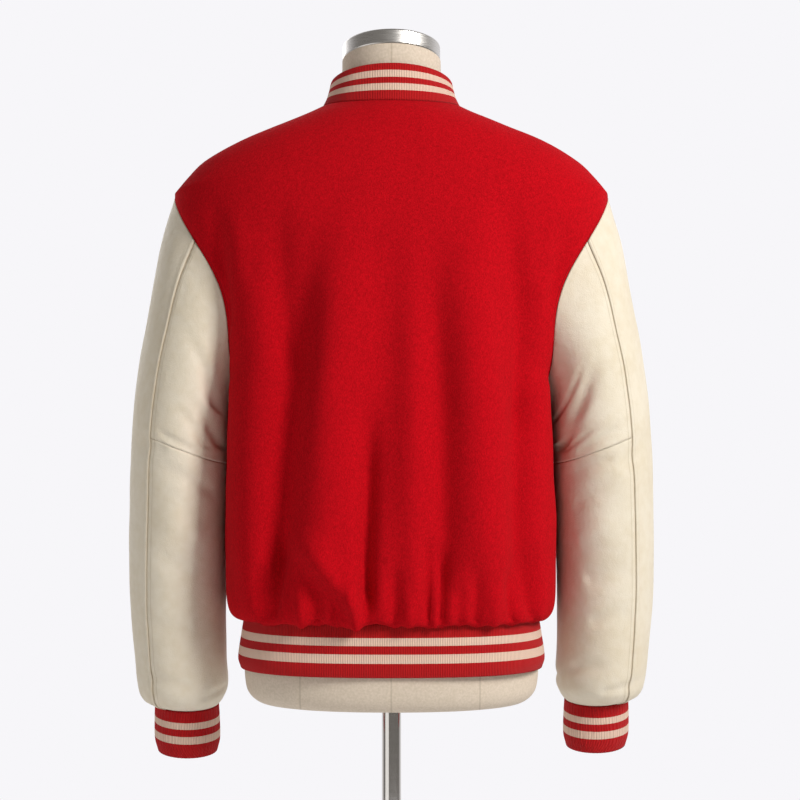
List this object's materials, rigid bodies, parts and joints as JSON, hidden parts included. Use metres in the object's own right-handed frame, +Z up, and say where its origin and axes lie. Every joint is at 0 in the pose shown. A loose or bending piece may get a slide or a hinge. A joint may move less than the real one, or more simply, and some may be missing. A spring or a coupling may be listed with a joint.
{
  "type": "varsity jacket on a dress form",
  "caption": "Varsity jacket with a wool body, leather sleeves and striped rib collar, cuffs and hem, worn by a limbless dress form on a pole and round base.",
  "frame": {"origin": "centre of the round base's underside", "axes": "+Z up along the pole, -Y out of the jacket's front, +X to the wearer's left"},
  "size_m": [0.6012, 0.35, 1.5143],
  "materials": {
    "melton": "brushed melton wool",
    "sleeve_leather": "soft semi-gloss",
    "rib_knit": "striped rib knit",
    "snap_metal": "satin",
    "form_linen": "stretched linen",
    "brushed_steel": "brushed",
    "chrome": "polished"
  },
  "bodies": {
    "root": {"back": "melton", "front_left": "melton", "front_right": "melton", "sleeve_left_top": "sleeve_leather", "sleeve_left_under_upper": "sleeve_leather", "sleeve_left_under_lower": "sleeve_leather", "sleeve_right_top": "sleeve_leather", "sleeve_right_under_upper": "sleeve_leather", "sleeve_right_under_lower": "sleeve_leather", "cuff_left": "rib_knit", "cuff_right": "rib_knit", "collar": "rib_knit", "hem_rib": "rib_knit", "snap_1": "snap_metal", "snap_2": "snap_metal", "snap_3": "snap_metal", "snap_4": "snap_metal", "snap_5": "snap_metal", "snap_hem": "snap_metal", "dress_form": "form_linen", "neck_cap": "brushed_steel", "pole": "chrome", "base": "chrome"}
  },
  "joints": []
}
